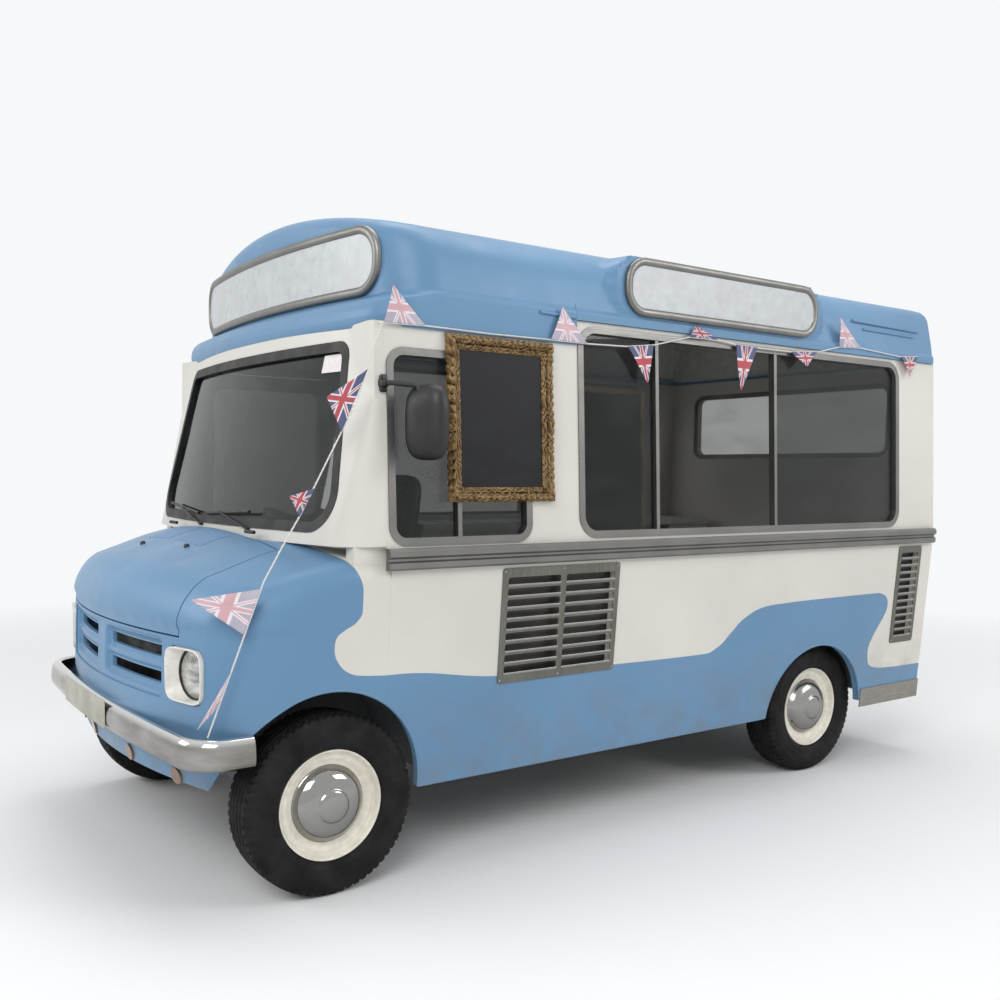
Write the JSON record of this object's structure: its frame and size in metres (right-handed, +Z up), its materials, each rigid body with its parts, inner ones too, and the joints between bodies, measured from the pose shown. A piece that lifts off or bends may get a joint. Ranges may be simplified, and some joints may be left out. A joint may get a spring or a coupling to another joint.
{
  "type": "serving van",
  "caption": "Coachbuilt serving van with a raked windscreen, a long side serving window over a metal counter rail, an opening bonnet and driver's door, and steered front wheels",
  "frame": {"origin": "on the ground, midway between the van's ends and sides", "axes": "X forward, Y to the van's left, Z up"},
  "size_m": [4.052, 2.3544, 2.462],
  "materials": {
    "blue_paint": "gloss",
    "cream_paint": "gloss",
    "aluminium": "satin",
    "chrome": "polished",
    "steel_black": "satin",
    "steel_grey": "dull",
    "glass": "clear",
    "rubber": "matte",
    "tyre": "matte",
    "black_plastic": "matte",
    "lamp": "gloss",
    "lamp_white": "gloss",
    "gilt_wood": "satin",
    "laminate": "satin",
    "vinyl": "satin",
    "fabric": "woven"
  },
  "bodies": {
    "body": {"roof": "blue_paint", "side_left": "cream_paint", "side_right": "cream_paint", "rear_panel": "cream_paint", "cab_front": "cream_paint", "nose": "blue_paint", "grille": "blue_paint", "windscreen": "glass", "windscreen_rubber": "rubber", "fixed_glass": "glass", "window_frames": "aluminium", "counter_rails": "aluminium", "louvre_panels": "aluminium", "signs": "aluminium", "menu_board": "gilt_wood", "bunting": "fabric", "kick_plate": "aluminium", "front_bumper": "chrome", "headlamps": "lamp_white", "small_lamps": "lamp", "wipers": "black_plastic", "mirror_left": "black_plastic", "floor": "steel_grey", "chassis": "steel_black", "front_suspension": "steel_black", "rear_axle": "steel_black", "leaf_springs": "steel_grey", "propshaft": "steel_black", "drive_motor": "steel_grey", "battery_boxes": "steel_grey", "dashboard": "black_plastic", "steering_wheel": "black_plastic", "seats": "vinyl", "serving_counter": "laminate", "back_unit": "laminate"},
    "bonnet": {"bonnet": "blue_paint"},
    "driver_door": {"driver_door": "cream_paint", "door_glass": "glass", "mirror_right": "black_plastic"},
    "steer_left": {"knuckle_left": "steel_grey"},
    "steer_right": {"knuckle_right": "steel_grey"},
    "wheel_fl": {"tyre_fl": "tyre", "rim_fl": "cream_paint", "hubcap_fl": "chrome"},
    "wheel_fr": {"tyre_fr": "tyre", "rim_fr": "cream_paint", "hubcap_fr": "chrome"},
    "wheel_rl": {"tyre_rl": "tyre", "rim_rl": "cream_paint", "hubcap_rl": "chrome"},
    "wheel_rr": {"tyre_rr": "tyre", "rim_rr": "cream_paint", "hubcap_rr": "chrome"}
  },
  "joints": [
    {"name": "bonnet_lift", "type": "hinge", "parent": "body", "child": "bonnet", "pos_m": [1.554, 0, 1.2445], "axis": [0, -1, 0], "range_deg": [0, 60]},
    {"name": "door_swing", "type": "hinge", "parent": "body", "child": "driver_door", "pos_m": [1.254, -0.988, 1.2], "axis": [0, 0, 1], "range_deg": [0, 65]},
    {"name": "steer_left", "type": "hinge", "parent": "body", "child": "steer_left", "pos_m": [1.466, 0.748, 0.32], "axis": [0, 0, 1], "range_deg": [-30, 30]},
    {"name": "steer_right", "type": "hinge", "parent": "body", "child": "steer_right", "pos_m": [1.466, -0.748, 0.32], "axis": [0, 0, 1], "range_deg": [-30, 30]},
    {"name": "spin_fl", "type": "hinge", "parent": "steer_left", "child": "wheel_fl", "pos_m": [1.466, 0.832, 0.32], "axis": [0, 1, 0], "continuous": true},
    {"name": "spin_fr", "type": "hinge", "parent": "steer_right", "child": "wheel_fr", "pos_m": [1.466, -0.832, 0.32], "axis": [0, 1, 0], "continuous": true},
    {"name": "spin_rl", "type": "hinge", "parent": "body", "child": "wheel_rl", "pos_m": [-1.226, 0.764, 0.32], "axis": [0, 1, 0], "continuous": true},
    {"name": "spin_rr", "type": "hinge", "parent": "body", "child": "wheel_rr", "pos_m": [-1.226, -0.764, 0.32], "axis": [0, 1, 0], "continuous": true}
  ],
  "couplings": [
    {"joint": "steer_right", "follows": "steer_left", "ratio": 1}
  ]
}
